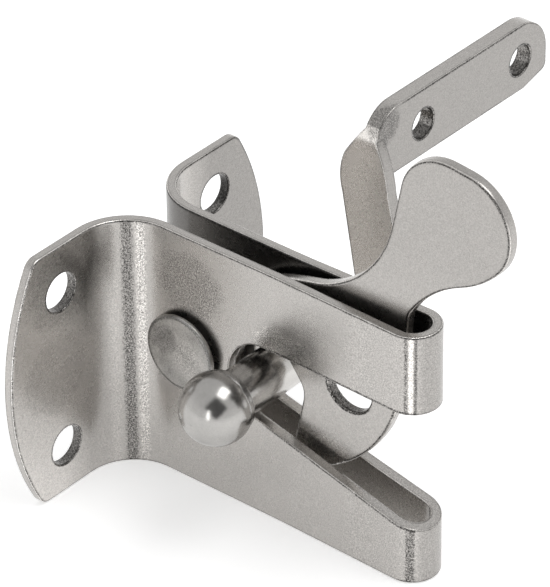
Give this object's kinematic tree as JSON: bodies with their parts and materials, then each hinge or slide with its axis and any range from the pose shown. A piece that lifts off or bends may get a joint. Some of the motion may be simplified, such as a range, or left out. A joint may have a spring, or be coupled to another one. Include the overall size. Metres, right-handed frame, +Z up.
{
  "type": "gate latch",
  "caption": "Gravity gate latch in satin stainless steel: folded body with a jaw, pivoting catch lever with thumb paddle, and a ball ended striker pin on an angled strap.",
  "frame": {"origin": "centre of the rectangle of four screw holes, on the back face of the flanges", "axes": "+X across the latch towards the strap of the striker, -Y out from the post towards the two noses, +Z up"},
  "size_m": [0.149, 0.1114, 0.1128],
  "materials": {
    "body_steel": "satin stainless steel",
    "lever_steel": "satin stainless steel",
    "rivet_steel": "satin stainless steel",
    "pin_steel": "polished stainless steel",
    "bracket_steel": "satin stainless steel"
  },
  "bodies": {
    "latch": {"latch_body": "body_steel", "pivot_rivet": "rivet_steel", "pivot_washer_near": "rivet_steel", "pivot_washer_far": "rivet_steel"},
    "lever": {"catch_lever": "lever_steel"},
    "striker": {"striker_pin": "pin_steel", "striker_bracket": "bracket_steel"}
  },
  "joints": [
    {"name": "lever_pivot", "type": "hinge", "parent": "latch", "child": "lever", "pos_m": [0, -0.02138, 0.00256], "axis": [-1, 0, 0], "range_deg": [0, 50]},
    {"name": "striker_play", "type": "slide", "parent": "latch", "child": "striker", "axis": [0, -1, 0], "range_m": [-0.001, 0.0012]}
  ]
}
